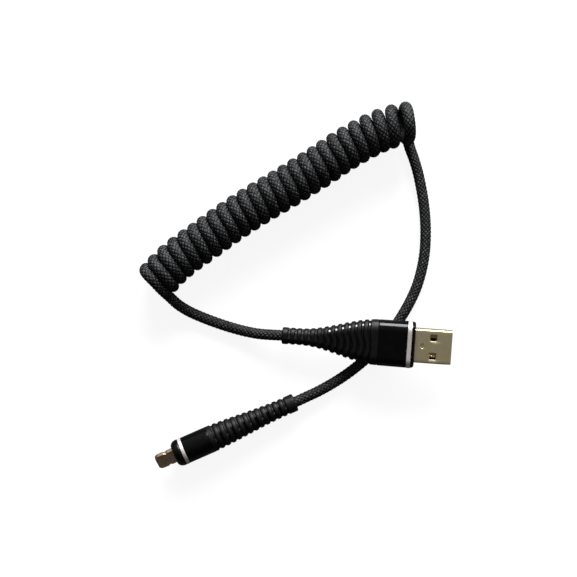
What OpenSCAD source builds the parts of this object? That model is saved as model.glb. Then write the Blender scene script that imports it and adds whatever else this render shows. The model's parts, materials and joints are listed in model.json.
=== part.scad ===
// Coiled charging cable: a braided cord with a flat plug on one end and a slim plug on the other.
// Millimetres, +Z up. The cable lies on the surface z = 0, and the origin is the bottom centre
// of the box round the two plugs.

/* [Cord] */
// Diameter of the braided cord
cord_d = 3.8; // [3.4:0.1:3.8]

/* [Coil] */
// Outside diameter of the curly stretch
coil_d = 15.4; // [14:0.2:15.4]

/* [Flat plug] */
// Width of the flat plug's metal shell
shell_w = 12.0; // [11.8:0.1:12.0]
// Height of the flat plug's metal shell
shell_h = 4.5; // [4.4:0.1:4.6]
// Length of shell that stands out of the plug
shell_out = 12.9; // [11.8:0.1:13.4]
// Wall of the metal shell
shell_wall = 0.3; // [0.25:0.05:0.35]
// Width of the flat plug's housing
usb_w = 16.2; // [16:0.1:17]
// Thickness of the flat plug's housing
usb_h = 8.0; // [7.8:0.1:8.2]
// Length of the flat plug's housing
usb_housing_len = 10.2; // [10:0.1:11]
// Length of the flat plug's strain relief
usb_relief_len = 34.2; // [34:0.1:35]
// How far the flat plug tips up, resting on the lead that crosses under it
usb_pitch = 5.5; // [5.5:0.1:6]
// How far the flat plug leans to one side
usb_roll = 7; // [5:1:8]

/* [Slim plug] */
// Width of the slim plug's tab
tab_w = 6.7; // [6.6:0.1:6.7]
// Thickness of the tab
tab_t = 1.5; // [1.4:0.1:1.6]
// Length of tab that stands out of the plug
tab_out = 6.8; // [6.4:0.1:6.8]
// Diameter of the slim plug's housing
slim_d = 9.6; // [9.4:0.1:9.7]
// Length of the slim plug's housing
slim_housing_len = 9.8; // [9.6:0.1:10]
// Length of the slim plug's strain relief
slim_relief_len = 33; // [32:0.5:34]
// How far the slim plug is rolled over about its own axis
slim_roll = 43; // [40:1:55]
// Contacts on each face of the tab
contact_count = 8; // [6:1:8]

/* [Hidden] */

$fn = 48;
cord_r = cord_d / 2;
coil_r = coil_d / 2;
running = 0.05;      // clearance round a part that slides or is glued in
joint_gap = 0.75;    // half of the gap between the two cord ends at the bending point
through = 0.2;       // how far a cutting tool stands past a face

// ---- where the plugs lie: the thin end of each strain relief, and the way each plug points ----
usb_at = [-7.7, 21, 5.6];
usb_heading = -3.9;
slim_at = [-3.1, -2.9, 3.3];
slim_heading = 203.45;
slim_pitch = 2.85;
bend_at = 17;        // distance from the thin end to the middle of the bend

// ---- stations along the flat plug, from the thin end of its strain relief ----
usb_ring_len = 1.5;
usb_cap_len = 1.2;
usb_housing_x = usb_relief_len;
usb_ring_x = usb_housing_x + usb_housing_len;
usb_cap_x = usb_ring_x + usb_ring_len;
usb_front_x = usb_cap_x + usb_cap_len;
usb_tip_x = usb_front_x + shell_out;
usb_wall = 0.8;
usb_back = 1.0;      // back wall of the housing and of the moulding
usb_inner_w = usb_w - 2 * usb_wall;
usb_inner_h = usb_h - 2 * usb_wall;
usb_mould_x = usb_housing_x + usb_back + running;
usb_cord_stop = usb_mould_x + 2.4;
usb_shell_x = usb_cord_stop + 3.7;
usb_corner = 3.2;    // corner radius of the housing's outline

// ---- stations along the slim plug ----
slim_ring_len = 1.2;
slim_cap_len = 2.9;
slim_housing_x = slim_relief_len;
slim_ring_x = slim_housing_x + slim_housing_len;
slim_cap_x = slim_ring_x + slim_ring_len;
slim_front_x = slim_cap_x + slim_cap_len;
slim_tip_x = slim_front_x + tab_out;
slim_wall = 0.7;
slim_back = 1.0;
slim_inner_d = slim_d - 2 * slim_wall;
slim_mould_x = slim_housing_x + slim_back + running;
slim_cord_stop = slim_mould_x + 2.0;
slim_board_x = slim_cord_stop + 1.6;
slim_tab_root_x = slim_cap_x - 0.6;
board_w = 5.8;
board_t = 0.8;

// ---- routes of the cord, on the surface and round the plugs ----
coil_route = [
    [-51.6, 41.2], [-47, 46], [-41.5, 50.5], [-36, 54.3], [-29.5, 59], [-22.5, 63.8], [-15.5, 68.2],
    [-8, 72.6], [-1, 76.9], [6, 81.3], [13, 86], [20.5, 90.4], [25.2, 92.8], [30.2, 94.8], [37.3, 96.4]
];
usb_route = [
    [-56.1, 44, 10.4], [-54.7, 42.2, 12.7], [-52.5, 39.95, 12.7], [-50.45, 37.6, 10.9], [-47.7, 34.8, 7.8],
    [-44.65, 31.8, 4.6], [-41.2, 29.55, 2.7], [-36.15, 27.25, 1.9], [-31.1, 25.35, 1.9], [-26, 23.7, 2.1],
    [-21, 22.4, 2.9], [-16, 21.5, 4], [-12, 21.2, 4.9]
];
slim_route = [
    [37.89, 88.63, 1.9], [39.34, 84.55, 1.9], [40.65, 80.34, 1.9], [41.95, 74.53, 1.9],
    [42.95, 68.52, 1.9], [43.55, 62.51, 1.9], [43.68, 56.5, 1.9], [43.32, 50.47, 1.9], [42.26, 44.44, 1.9],
    [40.5, 38.39, 1.9], [37.91, 32.64, 1.9], [34.5, 26.81, 1.9], [30.67, 21.29, 1.9], [26.04, 15.97, 1.9],
    [21.01, 11.36, 1.9], [15.38, 6.96, 1.9], [9.7, 3.33, 2.1], [4.55, 0.56, 2.5], [1, -1.05, 2.95]
];

// ---- helpers ----
// The way a plug points, as a unit vector, and a point on its axis.
function pointing(pitch, heading) =
    [cos(pitch) * cos(heading), cos(pitch) * sin(heading), sin(pitch)];
function on_axis(at, pitch, heading, x) = at + x * pointing(pitch, heading);
function unit(v) = v / norm(v);
function smooth(t) = let (u = min(max(t, 0), 1)) u * u * (3 - 2 * u);

// Direction of a route at point i, and the ring of n corners round it.
function tangent(route, i) =
    unit(route[min(i + 1, len(route) - 1)] - route[max(i - 1, 0)]);
function ring_at(route, i, r, n) =
    let (
        t = tangent(route, i),
        side = unit([-t[1], t[0], 0]),
        up = cross(t, side)
    )
    [for (k = [0 : n - 1]) route[i] + r * (sin(360 * k / n) * side - cos(360 * k / n) * up)];

// A round tube swept along the points of a route.
module swept(route, r, n) {
    rings = len(route);
    corners = [for (i = [0 : rings - 1]) each ring_at(route, i, r, n)];
    walls = [
        for (i = [0 : rings - 2]) for (k = [0 : n - 1])
            let (a = i * n + k, b = i * n + (k + 1) % n)
            [b, a, a + n, b + n]
    ];
    first_cap = [for (k = [0 : n - 1]) k];
    last_cap = [for (k = [n - 1 : -1 : 0]) (rings - 1) * n + k];
    polyhedron(corners, concat([first_cap], walls, [last_cap]), convexity = 8);
}

// Outline of a rectangle w by h with corners of radius r, centred.
corner_steps = 6;
function rounded_outline(w, h, r) = [
    for (corner = [0 : 3]) for (step = [0 : corner_steps])
        let (
            angle = 90 * corner + 90 * step / corner_steps,
            sx = (corner == 0 || corner == 3) ? 1 : -1,
            sy = corner < 2 ? 1 : -1
        )
        [sx * (w / 2 - r) + r * cos(angle), sy * (h / 2 - r) + r * sin(angle)]
];

// A slab with rounded corners across a plug, from station x0 to station x1.
module slab(x0, x1, w, h, r) {
    translate([x0, 0, 0])
        rotate([90, 0, 90])
        linear_extrude(x1 - x0)
        polygon(rounded_outline(w, h, r));
}

// A cylinder on a plug's axis, from station x0 to station x1.
module rod(x0, x1, d) {
    translate([x0, 0, 0])
        rotate([0, 90, 0])
        cylinder(h = x1 - x0, d = d);
}

// A block across a plug, given by its low and high corners.
module block(low, high) {
    translate(low) cube(high - low);
}

module on_usb() {
    translate(usb_at) rotate([usb_roll, -usb_pitch, usb_heading]) children();
}

module on_slim() {
    translate(slim_at) rotate([-slim_roll, -slim_pitch, slim_heading]) children();
}

// ---- cord ----
module usb_lead() {
    inside = [for (x = [-1, 5, 11, bend_at - joint_gap])
        on_axis(usb_at, usb_pitch, usb_heading, x)];
    color([0.05, 0.05, 0.06])
        swept(concat(usb_route, inside), cord_r, 8);
}

module coil() {
    sides = 12;
    color([0.07, 0.07, 0.08])
        swept([for (p = coil_route) [p[0], p[1], coil_r]], coil_r, sides);
}

module slim_lead() {
    inside = [for (x = [-1, 5, 11, bend_at - joint_gap])
        on_axis(slim_at, slim_pitch, slim_heading, x)];
    color([0.05, 0.05, 0.06])
        swept(concat(slim_route, inside), cord_r, 8);
}

// ---- flat plug: outside ----
usb_rib_count = 12;
usb_rib_gap = 0.9;
usb_end_collar = 2.2;
usb_base_collar = 2.9;
usb_ribbed_len = usb_relief_len - usb_end_collar - usb_base_collar;
usb_rib_pitch = (usb_ribbed_len - usb_rib_gap) / usb_rib_count;
usb_groove = 0.9;

// Width and thickness of the strain relief: a bell that opens towards the housing.
function usb_relief_w(x) = 6.0 + (usb_w - 5.9) * smooth((x - 6.5) / 27.5);
function usb_relief_h(x) = 5.6 + (usb_h - 5.6) * smooth((x - 6.5) / 27.5);

module usb_relief_slab(x0, x1, inset) {
    middle = (x0 + x1) / 2;
    w = usb_relief_w(middle) - 2 * inset;
    h = usb_relief_h(middle) - 2 * inset;
    slab(x0, x1, w, h, h * 0.48);
}

module usb_strain_relief() {
    overlap = 0.1;
    color([0.06, 0.06, 0.06]) on_usb() difference() {
        union() {
            usb_relief_slab(0, usb_end_collar, 0);
            usb_relief_slab(usb_relief_len - usb_base_collar, usb_relief_len, 0);
            for (i = [0 : usb_rib_count - 1]) {
                x = usb_end_collar + usb_rib_gap + i * usb_rib_pitch;
                usb_relief_slab(x, x + usb_rib_pitch - usb_rib_gap, 0);
            }
            for (i = [0 : usb_rib_count]) {
                x = usb_end_collar + i * usb_rib_pitch;
                usb_relief_slab(x - overlap, x + usb_rib_gap + overlap, usb_groove);
            }
        }
        rod(-through, usb_relief_len + through, cord_d + 2 * running);
    }
}

module usb_housing() {
    color([0.04, 0.04, 0.045]) on_usb() difference() {
        slab(usb_housing_x, usb_ring_x, usb_w, usb_h, usb_corner);
        slab(usb_housing_x + usb_back, usb_ring_x + through, usb_inner_w, usb_inner_h,
            usb_corner - usb_wall);
        rod(usb_housing_x - through, usb_housing_x + usb_back + through, cord_d + 2 * running);
    }
}

module usb_trim_ring() {
    proud = 0.1;
    color([0.85, 0.82, 0.8]) on_usb() difference() {
        slab(usb_ring_x, usb_cap_x, usb_w + 2 * proud, usb_h + 2 * proud, usb_corner + proud);
        slab(usb_ring_x - through, usb_cap_x + through, usb_inner_w, usb_inner_h,
            usb_corner - usb_wall);
    }
}

module usb_nose_cap() {
    step = 0.05;
    chamfer = 0.9;
    color([0.03, 0.03, 0.03]) on_usb() difference() {
        hull() {
            slab(usb_cap_x, usb_cap_x + 0.4, usb_w, usb_h, usb_corner);
            slab(usb_front_x - step, usb_front_x, usb_w - 2 * chamfer, usb_h - 2 * chamfer,
                usb_corner - chamfer);
        }
        slab(usb_cap_x - through, usb_front_x + through, shell_w + 2 * running,
            shell_h + 2 * running, 0.6);
    }
}

// ---- flat plug: metal shell, insulator and contacts ----
window = 2.4;
window_from_tip = 6.5;
window_offset = 3.25;

module usb_shell() {
    mark_d = 1.0;
    mark_from_tip = 10.4;
    color([0.47, 0.44, 0.38]) on_usb() difference() {
        slab(usb_shell_x, usb_tip_x, shell_w, shell_h, 0.55);
        slab(usb_shell_x - through, usb_tip_x + through, shell_w - 2 * shell_wall,
            shell_h - 2 * shell_wall, 0.3);
        for (side = [-1, 1])
            translate([usb_tip_x - window_from_tip, side * window_offset, 0])
                cube([window, window, shell_h + 1], center = true);
        translate([usb_tip_x - mark_from_tip, 0, 0])
            cylinder(h = shell_h, d = mark_d);
    }
}

contact_w = [1.2, 1.0, 1.0, 1.2];
contact_y = [-3.5, -1.0, 1.0, 3.5];
contact_from_tip = [1.3, 2.3, 2.3, 1.3];
contact_t = 0.15;
tongue_top = -0.1;
usb_inside_h = shell_h / 2 - shell_wall - running;
usb_inside_w = shell_w / 2 - shell_wall - running;
usb_tongue_block_len = 2.5;

module usb_tongue() {
    tip_step = 0.4;
    edge = 0.3;
    slot_w = 1.3;
    color([0.06, 0.06, 0.06]) on_usb() difference() {
        slab(usb_shell_x, usb_tip_x - tip_step, 2 * usb_inside_w, 2 * usb_inside_h, edge);
        block([usb_shell_x + usb_tongue_block_len, -shell_w, tongue_top],
            [usb_tip_x, shell_w, shell_h]);
        for (y = contact_y)
            block([usb_shell_x - through, y - slot_w / 2, tongue_top],
                [usb_shell_x + usb_tongue_block_len + through, y + slot_w / 2,
                    tongue_top + contact_t + 2 * running]);
    }
}

module usb_contacts() {
    tail = 0.7;
    color([0.85, 0.68, 0.3]) on_usb()
        for (i = [0 : 3])
            block([usb_shell_x - tail, contact_y[i] - contact_w[i] / 2, tongue_top + 0.01],
                [usb_tip_x - contact_from_tip[i], contact_y[i] + contact_w[i] / 2,
                    tongue_top + contact_t]);
}

// ---- flat plug: inside the housing ----
module usb_mould_half(side) {
    half = 10;
    difference() {
        slab(usb_mould_x, usb_cap_x - running, usb_inner_w - 2 * running,
            usb_inner_h - 2 * running, usb_corner - usb_wall - running);
        slab(usb_mould_x + usb_back, usb_cap_x, shell_w + 2 * running, shell_h + 2 * running, 0.6);
        rod(usb_mould_x - through, usb_mould_x + usb_back + through, cord_d + 2 * running);
        block([usb_mould_x - 1, -half, side > 0 ? -half : 0],
            [usb_cap_x + 1, half, side > 0 ? 0 : half]);
    }
}

module usb_mould_lower() {
    color([0.75, 0.75, 0.72]) on_usb() usb_mould_half(-1);
}

module usb_mould_upper() {
    color([0.75, 0.75, 0.72]) on_usb() usb_mould_half(1);
}

module crimp_sleeve(x0, x1, d) {
    difference() {
        rod(x0, x1, d);
        rod(x0 - through, x1 + through, cord_d + 2 * running);
    }
}

module usb_crimp_sleeve() {
    x0 = usb_mould_x + usb_back + running;
    color([0.7, 0.7, 0.7]) on_usb() crimp_sleeve(x0, usb_cord_stop - 0.2, cord_d + 0.7);
}

module usb_cord_end() {
    color([0.05, 0.05, 0.06]) on_usb() rod(bend_at + joint_gap, usb_cord_stop, cord_d);
}

// A wire from the cut end of the cord, at low, to its contact or pad, at high.
module wire(low, high, d) {
    straight = 0.5;
    steps = 4;
    route = [
        low,
        for (i = [0 : steps])
            let (t = i / steps, bend = smooth(t))
            [
                low[0] + straight + t * (high[0] - low[0] - 2 * straight),
                low[1] + bend * (high[1] - low[1]),
                low[2] + bend * (high[2] - low[2])
            ],
        high
    ];
    swept(route, d / 2, 8);
}

wire_d = 0.8;

module usb_wire(i) {
    across = [-0.95, -0.55, 0.55, 0.95];
    up = [0.6, -0.75, -0.75, 0.6];
    seat = tongue_top + contact_t + wire_d / 2 + 0.02;
    on_usb() wire([usb_cord_stop + 0.02, across[i], up[i]],
        [usb_shell_x - 0.1, contact_y[i], seat], wire_d);
}

module usb_wire_red() {
    color("red") usb_wire(3);
}

module usb_wire_white() {
    color("white") usb_wire(2);
}

module usb_wire_green() {
    color("green") usb_wire(1);
}

module usb_wire_black() {
    color([0.1, 0.1, 0.1]) usb_wire(0);
}

// ---- slim plug: outside ----
slim_rib_count = 12;
slim_rib_gap = 0.8;
slim_end_collar = 3.5;
slim_base_collar = 1.6;
slim_thin_r = 3.25;
slim_ribbed_len = slim_relief_len - slim_end_collar - slim_base_collar;
slim_rib_pitch = (slim_ribbed_len - slim_rib_gap) / slim_rib_count;
slim_groove = 0.7;

// Radius of the slim strain relief: it widens most in the middle.
function slim_relief_r(x) = slim_thin_r + (slim_d / 2 - slim_thin_r) * smooth((x - 4) / 30);

module slim_strain_relief() {
    bore = cord_r + running;
    grooves = [
        for (i = [0 : slim_rib_count])
            let (x = slim_end_collar + i * slim_rib_pitch)
            each [
                [slim_relief_r(x), x],
                [slim_relief_r(x) - slim_groove, x],
                [slim_relief_r(x) - slim_groove, x + slim_rib_gap],
                [slim_relief_r(x + slim_rib_gap), x + slim_rib_gap]
            ]
    ];
    outline = concat(
        [[bore, 0], [slim_relief_r(0), 0]],
        grooves,
        [[slim_relief_r(slim_relief_len), slim_relief_len], [bore, slim_relief_len]]
    );
    color([0.06, 0.06, 0.06]) on_slim()
        rotate([0, 90, 0])
        rotate_extrude()
        polygon(outline);
}

module slim_housing() {
    color([0.03, 0.03, 0.035]) on_slim() difference() {
        rod(slim_housing_x, slim_ring_x, slim_d);
        rod(slim_housing_x + slim_back, slim_ring_x + through, slim_inner_d);
        rod(slim_housing_x - through, slim_housing_x + slim_back + through, cord_d + 2 * running);
    }
}

module slim_trim_ring() {
    proud = 0.05;
    color([0.85, 0.82, 0.8]) on_slim() difference() {
        rod(slim_ring_x, slim_cap_x, slim_d + 2 * proud);
        rod(slim_ring_x - through, slim_cap_x + through, slim_inner_d);
    }
}

// The cap is a dome whose front is just wider than the tab.
module slim_nose_cap() {
    straight = 0.5;
    front_r = 3.2;
    arc_steps = 5;
    base_r = slim_d / 2;
    arc = [
        for (i = [0 : arc_steps])
            let (angle = 90 * i / arc_steps)
            [
                front_r + (base_r - front_r) * cos(angle),
                straight + (slim_cap_len - straight) * sin(angle)
            ]
    ];
    outline = concat([[0, 0], [base_r, 0]], arc, [[0, slim_cap_len]]);
    color([0.03, 0.03, 0.03]) on_slim() difference() {
        translate([slim_cap_x, 0, 0])
            rotate([0, 90, 0])
            rotate_extrude()
            polygon(outline);
        block([slim_cap_x - through, -tab_w / 2 - running, -tab_t / 2 - running],
            [slim_front_x + through, tab_w / 2 + running, tab_t / 2 + running]);
    }
}

// ---- slim plug: tab, panels and contacts ----
panel_w = 5.2;
panel_len = 2.6;
panel_from_tip = 0.55;
panel_depth = 0.35;
panel_sunk = 0.05;

module tab_plate(x0, x1, w, t, r) {
    // a plate whose two front corners are rounded
    translate([0, 0, -t / 2])
        linear_extrude(t)
        polygon(concat(
            [[x0, -w / 2]],
            [for (i = [0 : corner_steps]) let (a = -90 + 90 * i / corner_steps)
                [x1 - r + r * cos(a), -w / 2 + r + r * sin(a)]],
            [for (i = [0 : corner_steps]) let (a = 90 * i / corner_steps)
                [x1 - r + r * cos(a), w / 2 - r + r * sin(a)]],
            [[x0, w / 2]]
        ));
}

module panel_blank(grow, t, lift) {
    x1 = slim_tip_x - panel_from_tip;
    translate([x1 - panel_len / 2, 0, lift])
        linear_extrude(t)
        polygon(rounded_outline(panel_len + 2 * grow, panel_w + 2 * grow, 0.8 + grow));
}

module slim_tab_frame() {
    tab_corner = 1.6;
    notch_r = 0.5;
    notch_from_tip = 4.2;
    color([0.55, 0.5, 0.44]) on_slim() difference() {
        tab_plate(slim_tab_root_x, slim_tip_x, tab_w, tab_t, tab_corner);
        panel_blank(0, panel_depth + 1, tab_t / 2 - panel_depth);
        panel_blank(0, panel_depth + 1, -tab_t / 2 - 1);
        for (side = [-1, 1])
            translate([slim_tip_x - notch_from_tip, side * (tab_w / 2 + 0.2), -tab_t])
                cylinder(h = 2 * tab_t, r = notch_r);
    }
}

contact_gap = panel_w / (contact_count + 0.6);
pad_t = 0.12;
pad_len = 1.7;
pad_w = 0.36;

module slim_contact_panels() {
    body = panel_depth - panel_sunk - running;
    color([0.45, 0.33, 0.2]) on_slim() for (face = [0, 1]) mirror([0, 0, face]) difference() {
        panel_blank(-running, body, tab_t / 2 - panel_depth + running);
        for (i = [0 : contact_count - 1])
            translate([
                slim_tip_x - panel_from_tip - panel_len / 2 - pad_len / 2 - running,
                (i - (contact_count - 1) / 2) * contact_gap - pad_w / 2 - running / 2,
                tab_t / 2 - panel_sunk - pad_t - 0.01
            ])
                cube([pad_len + 2 * running, pad_w + running, 1]);
    }
}

module slim_contacts() {
    color([0.8, 0.62, 0.3]) on_slim() for (face = [0, 1]) mirror([0, 0, face])
        for (i = [0 : contact_count - 1])
            translate([
                slim_tip_x - panel_from_tip - panel_len / 2 - pad_len / 2,
                (i - (contact_count - 1) / 2) * contact_gap - pad_w / 2,
                tab_t / 2 - panel_sunk - pad_t
            ])
                cube([pad_len, pad_w, pad_t]);
}

// ---- slim plug: inside the housing ----
module slim_circuit_board() {
    color([0.1, 0.35, 0.2]) on_slim()
        block([slim_board_x, -board_w / 2, -board_t / 2],
            [slim_tab_root_x - 0.02, board_w / 2, board_t / 2]);
}

module slim_control_chip() {
    chip = [2.6, 2.4, 0.8];
    color([0.08, 0.08, 0.08]) on_slim()
        translate([slim_board_x + 2.4, -chip[1] / 2, board_t / 2 + 0.02])
        cube(chip);
}

module slim_mould_half(side) {
    half = 10;
    cavity = slim_inner_d - 1.2;
    difference() {
        rod(slim_mould_x, slim_ring_x - running, slim_inner_d - 2 * running);
        rod(slim_mould_x + slim_back, slim_ring_x + through, cavity);
        rod(slim_mould_x - through, slim_mould_x + slim_back + through, cord_d + 2 * running);
        block([slim_mould_x - 1, -half, side > 0 ? -half : 0],
            [slim_cap_x + 1, half, side > 0 ? 0 : half]);
    }
}

module slim_mould_lower() {
    color([0.75, 0.75, 0.72]) on_slim() slim_mould_half(-1);
}

module slim_mould_upper() {
    color([0.75, 0.75, 0.72]) on_slim() slim_mould_half(1);
}

module slim_crimp_sleeve() {
    x0 = slim_mould_x + slim_back + running;
    color([0.7, 0.7, 0.7]) on_slim() crimp_sleeve(x0, slim_cord_stop - 0.1, cord_d + 0.9);
}

module slim_cord_end() {
    color([0.05, 0.05, 0.06]) on_slim() rod(bend_at + joint_gap, slim_cord_stop, cord_d);
}

module slim_wire(y, side) {
    seat = board_t / 2 + wire_d / 2 + 0.02;
    on_slim() wire([slim_cord_stop + 0.02, y * 0.5, side * 0.85],
        [slim_board_x + 1.6, y, side * seat], wire_d);
}

module slim_wire_red() {
    color("red") slim_wire(1.3, 1);
}

module slim_wire_black() {
    color([0.1, 0.1, 0.1]) slim_wire(-1.3, 1);
}

module slim_wire_white() {
    color("white") slim_wire(1.3, -1);
}

module slim_wire_green() {
    color("green") slim_wire(-1.3, -1);
}

usb_lead();
coil();
slim_lead();
usb_strain_relief();
usb_housing();
usb_trim_ring();
usb_nose_cap();
usb_shell();
usb_tongue();
usb_contacts();
usb_mould_lower();
usb_mould_upper();
usb_crimp_sleeve();
usb_cord_end();
usb_wire_red();
usb_wire_black();
usb_wire_white();
usb_wire_green();
slim_strain_relief();
slim_housing();
slim_trim_ring();
slim_nose_cap();
slim_tab_frame();
slim_contact_panels();
slim_contacts();
slim_circuit_board();
slim_control_chip();
slim_mould_lower();
slim_mould_upper();
slim_crimp_sleeve();
slim_cord_end();
slim_wire_red();
slim_wire_black();
slim_wire_white();
slim_wire_green();
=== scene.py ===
"""Looks of the coiled charging cable: braided cord, flat plug and slim plug, built round the CAD frame.

Lengths inside the classes are millimetres in each plug's own frame (x from the thin end of the
strain relief towards the tip); they become metres in the row frame when a mesh is made.
"""

import json
import logging
import math
from dataclasses import dataclass, field
from enum import Enum
from typing import Callable, Sequence

import bpy
import numpy as np
import numpy.typing as npt
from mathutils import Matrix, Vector


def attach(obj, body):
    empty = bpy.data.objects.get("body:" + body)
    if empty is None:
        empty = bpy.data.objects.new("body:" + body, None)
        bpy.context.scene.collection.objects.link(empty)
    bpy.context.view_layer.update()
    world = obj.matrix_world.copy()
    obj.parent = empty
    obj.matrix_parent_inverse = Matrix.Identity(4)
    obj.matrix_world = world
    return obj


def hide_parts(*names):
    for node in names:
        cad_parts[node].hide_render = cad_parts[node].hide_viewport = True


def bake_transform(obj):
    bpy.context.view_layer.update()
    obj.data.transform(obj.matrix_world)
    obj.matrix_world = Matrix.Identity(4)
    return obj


Array = npt.NDArray[np.float64]
Rgb = tuple[float, float, float]

MM = 0.001
SKIN = "skin"
log = logging.getLogger("charging_cable")

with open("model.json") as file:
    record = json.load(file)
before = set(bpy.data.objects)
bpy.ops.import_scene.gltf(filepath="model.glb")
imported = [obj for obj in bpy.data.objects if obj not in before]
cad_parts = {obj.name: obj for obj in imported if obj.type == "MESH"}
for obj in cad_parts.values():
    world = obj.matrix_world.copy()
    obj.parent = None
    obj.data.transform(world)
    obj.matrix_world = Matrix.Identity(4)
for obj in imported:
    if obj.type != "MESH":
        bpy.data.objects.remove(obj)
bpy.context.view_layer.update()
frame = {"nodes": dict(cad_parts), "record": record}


class Body(str, Enum):
    """The CAD bodies that pieces ride on."""

    CORD = "cord"
    FLAT_PLUG = "usb_plug"
    SLIM_CORD = "slim_cord"
    SLIM_PLUG = "slim_plug"


# ------------------------------------------------------------------ small maths


def smooth(t: Array | float) -> Array | float:
    """Smoothstep: 3t^2 - 2t^3 with t held between 0 and 1."""
    held = np.clip(t, 0.0, 1.0)
    return held * held * (3.0 - 2.0 * held)


def unit(vectors: Array) -> Array:
    """Each vector divided by its own length."""
    return vectors / np.linalg.norm(vectors, axis=-1, keepdims=True)


def bump(x: Array, centre: Array | float, half_width: float, softness: float) -> Array:
    """A flat-topped hump: 1 within half_width of centre, falling to 0 over softness.

    Args:
        x: where it is read.
        centre: middle of the hump.
        half_width: half of its flat top plus half of the fall.
        softness: length of the smooth fall on each side.

    Returns:
        Values from 0 to 1.
    """
    return smooth((half_width + softness / 2 - np.abs(x - centre)) / softness)


def chord_lengths(points: Array) -> Array:
    """Distance along a line of points, starting from 0."""
    steps = np.linalg.norm(np.diff(points, axis=0), axis=1)
    return np.concatenate([[0.0], np.cumsum(steps)])


def spline(points: Array, samples_each: int) -> Array:
    """A smooth line through points: a cubic Hermite curve whose tangents are finite differences.

    Args:
        points: (n, 3) points that it passes through.
        samples_each: samples between two points.

    Returns:
        (m, 3) points.
    """
    knots = chord_lengths(points)
    slopes = np.gradient(points, knots, axis=0)
    fine = np.linspace(0, len(points) - 1, (len(points) - 1) * samples_each + 1)
    low = np.minimum(fine.astype(int), len(points) - 2)
    t = (fine - low)[:, None]
    span = (knots[low + 1] - knots[low])[:, None]
    h00 = 2 * t**3 - 3 * t**2 + 1
    h10 = t**3 - 2 * t**2 + t
    h01 = -2 * t**3 + 3 * t**2
    h11 = t**3 - t**2
    ends = h00 * points[low] + h01 * points[low + 1]
    return ends + span * (h10 * slopes[low] + h11 * slopes[low + 1])


def evenly(points: Array, step: float, extra: Array | None = None) -> tuple[Array, Array | None]:
    """The same line sampled at an even distance along it.

    Args:
        points: (n, 3) points.
        step: the distance wanted.
        extra: (n, k) values carried along.

    Returns:
        The new points and the new extra values.
    """
    along = chord_lengths(points)
    count = max(2, int(round(along[-1] / step)) + 1)
    wanted = np.linspace(0, along[-1], count)
    moved = np.stack([np.interp(wanted, along, points[:, k]) for k in range(3)], axis=1)
    if extra is None:
        return moved, None
    carried = np.stack([np.interp(wanted, along, extra[:, k]) for k in range(extra.shape[1])], axis=1)
    return moved, carried


# ------------------------------------------------------------------ meshes


def grid_mesh(
    name: str,
    points: Array,
    wrap_rows: bool = False,
    wrap_cols: bool = True,
    cap_ends: bool = False,
    row_uv: Array | None = None,
    col_uv: Array | None = None,
) -> bpy.types.Object:
    """A mesh from a grid of points: quad (i, j) joins rows i and i+1, columns j and j+1.

    Faces point outwards where the columns run anticlockwise as seen from the last row. The end caps are flat.

    Args:
        name: the object's name.
        points: (rows, columns, 3) in millimetres, row frame.
        wrap_rows: the last row joins the first.
        wrap_cols: the last column joins the first.
        cap_ends: close the first and last row with one face each.
        row_uv: U of each row, one more than the rows where they wrap.
        col_uv: V of each column, one more than the columns where they wrap.

    Returns:
        The object, at the origin, in metres.
    """
    rows, cols = points.shape[:2]
    face_rows = rows if wrap_rows else rows - 1
    face_cols = cols if wrap_cols else cols - 1
    i, j = np.meshgrid(np.arange(face_rows), np.arange(face_cols), indexing="ij")
    nxt_i, nxt_j = (i + 1) % rows, (j + 1) % cols
    quads = np.stack([i * cols + j, i * cols + nxt_j, nxt_i * cols + nxt_j, nxt_i * cols + j], -1)
    faces = quads.reshape(-1, 4).tolist()
    if cap_ends:
        faces.append(list(range(cols - 1, -1, -1)))
        faces.append(list(range((rows - 1) * cols, rows * cols)))
    mesh = bpy.data.meshes.new(name)
    mesh.from_pydata((points.reshape(-1, 3) * MM).tolist(), [], faces)
    row_uv = np.arange(face_rows + 1, dtype=float) if row_uv is None else row_uv
    col_uv = np.arange(face_cols + 1, dtype=float) if col_uv is None else col_uv
    u = np.stack([row_uv[i], row_uv[i], row_uv[i + 1], row_uv[i + 1]], -1).reshape(-1)
    v = np.stack([col_uv[j], col_uv[j + 1], col_uv[j + 1], col_uv[j]], -1).reshape(-1)
    layer = mesh.uv_layers.new(name=SKIN)
    values = np.zeros(len(mesh.loops) * 2, np.float32)
    values[0 : 2 * len(u) : 2] = u
    values[1 : 2 * len(v) : 2] = v
    layer.data.foreach_set("uv", values)
    smooth_faces = np.ones(len(mesh.polygons), bool)
    smooth_faces[face_rows * face_cols :] = False
    mesh.polygons.foreach_set("use_smooth", smooth_faces)
    mesh.update()
    obj = bpy.data.objects.new(name, mesh)
    bpy.context.scene.collection.objects.link(obj)
    return obj


def set_mask(obj: bpy.types.Object, name: str, values: Array) -> None:
    """Stores one number a vertex as a point attribute of that name."""
    attribute = obj.data.attributes.new(name, "FLOAT", "POINT")
    attribute.data.foreach_set("value", values.reshape(-1).astype(np.float32))


def cut_away(obj: bpy.types.Object, cutters: Sequence[bpy.types.Object]) -> None:
    """Subtracts closed meshes from obj for good, marks its hard edges, and removes the cutters."""
    for cutter in cutters:
        modifier = obj.modifiers.new("cut", "BOOLEAN")
        modifier.operation = "DIFFERENCE"
        modifier.solver = "EXACT"
        modifier.object = cutter
    bpy.context.view_layer.update()
    graph = bpy.context.evaluated_depsgraph_get()
    result = bpy.data.meshes.new_from_object(obj.evaluated_get(graph))
    obj.modifiers.clear()
    old, obj.data = obj.data, result
    bpy.data.meshes.remove(old)
    result.set_sharp_from_angle(angle=math.radians(38))
    for cutter in cutters:
        spare = cutter.data
        bpy.data.objects.remove(cutter)
        bpy.data.meshes.remove(spare)


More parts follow.
